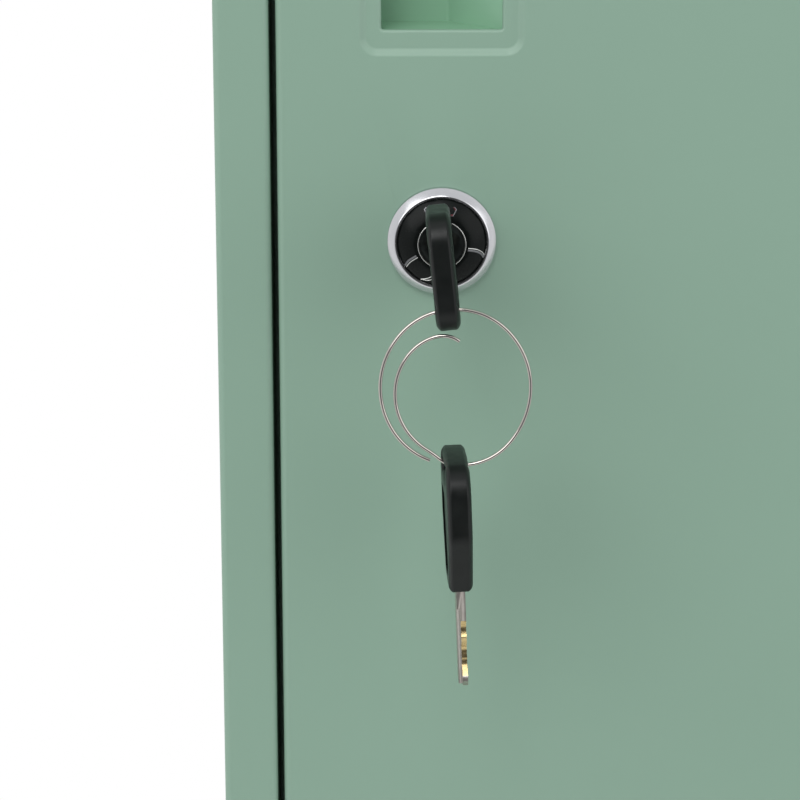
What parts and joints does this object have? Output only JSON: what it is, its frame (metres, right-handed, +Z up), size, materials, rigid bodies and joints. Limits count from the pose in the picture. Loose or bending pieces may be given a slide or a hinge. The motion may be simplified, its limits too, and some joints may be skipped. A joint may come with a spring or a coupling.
{
  "type": "clothes locker",
  "caption": "Single-door steel clothes locker with a louvred door, a recessed pull, a keyed cam lock with a spare key on its ring, a hat shelf and a hanging rail.",
  "frame": {"origin": "middle of the footprint, on the floor", "axes": "+X to the right as the user faces the door, -Y out of the door towards the user, +Z up"},
  "size_m": [0.38, 0.5007, 1.8],
  "materials": {
    "cabinet_steel": "green-grey powder coat on steel sheet, satin",
    "door_steel": "green-grey powder coat on steel sheet, satin",
    "zinc_steel": "bright zinc plate",
    "rail_chrome": "chrome plate, bright",
    "nylon": "natural nylon, satin",
    "socket_plastic": "black moulded plastic, satin",
    "buffer_rubber": "black rubber, matt",
    "lock_chrome": "chrome plate, satin",
    "lock_black": "black plastic, satin",
    "lock_zinc": "nickel plate over zinc casting",
    "plug_metal": "dark nickel plate, satin",
    "key_plastic": "black moulded plastic, satin",
    "key_metal": "nickel plate, brass showing in the cuts",
    "ring_wire": "bright drawn steel wire",
    "spring_wire": "drawn spring steel"
  },
  "bodies": {
    "cabinet": {"side_panel_left": "cabinet_steel", "side_panel_right": "cabinet_steel", "back_panel": "cabinet_steel", "top_panel": "cabinet_steel", "base_panel": "cabinet_steel", "plinth": "cabinet_steel", "hat_shelf": "cabinet_steel", "back_rivets": "zinc_steel", "plinth_bolts": "zinc_steel", "plinth_nuts": "zinc_steel", "shelf_clips": "zinc_steel", "hanging_rail": "rail_chrome", "rail_socket_left": "socket_plastic", "rail_socket_right": "socket_plastic", "rail_screws": "zinc_steel", "door_buffers": "buffer_rubber", "hinge_bush_bottom": "nylon", "hinge_bush_top": "nylon"},
    "door": {"door_skin": "door_steel", "door_stiffener": "door_steel", "handle_pocket": "door_steel", "hinge_bracket_top": "zinc_steel", "hinge_bracket_bottom": "zinc_steel", "hinge_pin_bottom": "zinc_steel", "hinge_spring": "spring_wire", "lock_housing": "lock_zinc", "lock_bezel": "lock_chrome", "lock_face": "lock_black", "lock_nut": "zinc_steel"},
    "pin": {"hinge_pin_top": "zinc_steel", "pin_collar": "zinc_steel"},
    "plug": {"lock_plug": "plug_metal", "lock_cam": "zinc_steel", "cam_washer": "zinc_steel", "cam_screw": "zinc_steel"},
    "key": {"key_head": "key_plastic", "key_blade": "key_metal"},
    "ring": {"key_ring": "ring_wire"},
    "spare": {"spare_key_head": "key_plastic", "spare_key_blade": "key_metal"}
  },
  "joints": [
    {"name": "door_swing", "type": "hinge", "parent": "cabinet", "child": "door", "pos_m": [0.1633, -0.2185, 0.94], "axis": [0, 0, 1], "range_deg": [0, 120]},
    {"name": "pin_slide", "type": "slide", "parent": "door", "child": "pin", "axis": [0, 0, -1], "range_m": [0, 0.01], "stiffness_N_per_m": 500, "springref_m": -0.006, "deforming": ["hinge_spring"]},
    {"name": "lock_turn", "type": "hinge", "parent": "door", "child": "plug", "pos_m": [-0.13595, -0.225, 0.8793], "axis": [0, 1, 0], "range_deg": [0, 95]},
    {"name": "key_slide", "type": "slide", "parent": "plug", "child": "key", "axis": [0, -1, 0], "range_m": [0, 0.026]},
    {"name": "ring_hang", "type": "hinge", "parent": "key", "child": "ring", "pos_m": [-0.13795, -0.26065, 0.8553], "axis": [0, 1, 0], "range_deg": [-95, 0]},
    {"name": "spare_swing", "type": "hinge", "parent": "ring", "child": "spare", "pos_m": [-0.13314, -0.26065, 0.8339], "axis": [1, 0, 0], "range_deg": [-70, 25]}
  ],
  "couplings": [
    {"joint": "ring_hang", "follows": "lock_turn", "ratio": -1}
  ]
}
